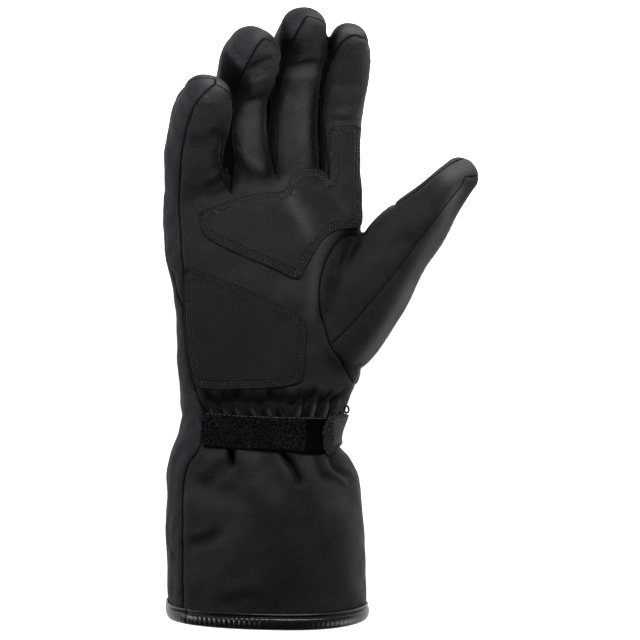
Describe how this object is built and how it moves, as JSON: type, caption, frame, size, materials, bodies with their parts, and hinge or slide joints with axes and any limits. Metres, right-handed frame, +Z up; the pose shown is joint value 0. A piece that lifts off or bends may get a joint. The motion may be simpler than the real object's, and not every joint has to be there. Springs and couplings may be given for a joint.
{
  "type": "motorcycle glove",
  "caption": "Right-hand padded gauntlet glove with a reinforced palm, gathered wrist, hook-and-loop wrist strap and long bound cuff, lying palm up.",
  "frame": {"origin": "on the floor under the middle of the glove's bounding box", "axes": "+Z up out of the palm side, +Y from the cuff to the fingertips, +X towards the thumb"},
  "size_m": [0.1708, 0.3308, 0.0711],
  "materials": {
    "palm_fabric": "matte near-black soft-shell fabric",
    "side_fabric": "matte near-black soft-shell fabric with a slight blue tone",
    "patch_fabric": "matte black suede-like reinforcement",
    "binding": "glossy black leatherette",
    "pile": "rough black loop pile",
    "webbing": "tight black webbing"
  },
  "bodies": {
    "root": {"palm_panel": "palm_fabric", "back_panel": "side_fabric", "finger_back_panel": "side_fabric", "little_finger_side_panel": "side_fabric", "thumb_inner_panel": "palm_fabric", "thumb_outer_panel": "palm_fabric", "thumb_back_panel": "side_fabric", "cuff_palm_panel": "palm_fabric", "cuff_back_panel": "side_fabric", "hem_binding": "binding", "palm_patch": "patch_fabric", "heel_patch": "patch_fabric", "pile_strip": "pile", "closure_strap": "webbing", "strap_loop": "webbing"}
  },
  "joints": []
}
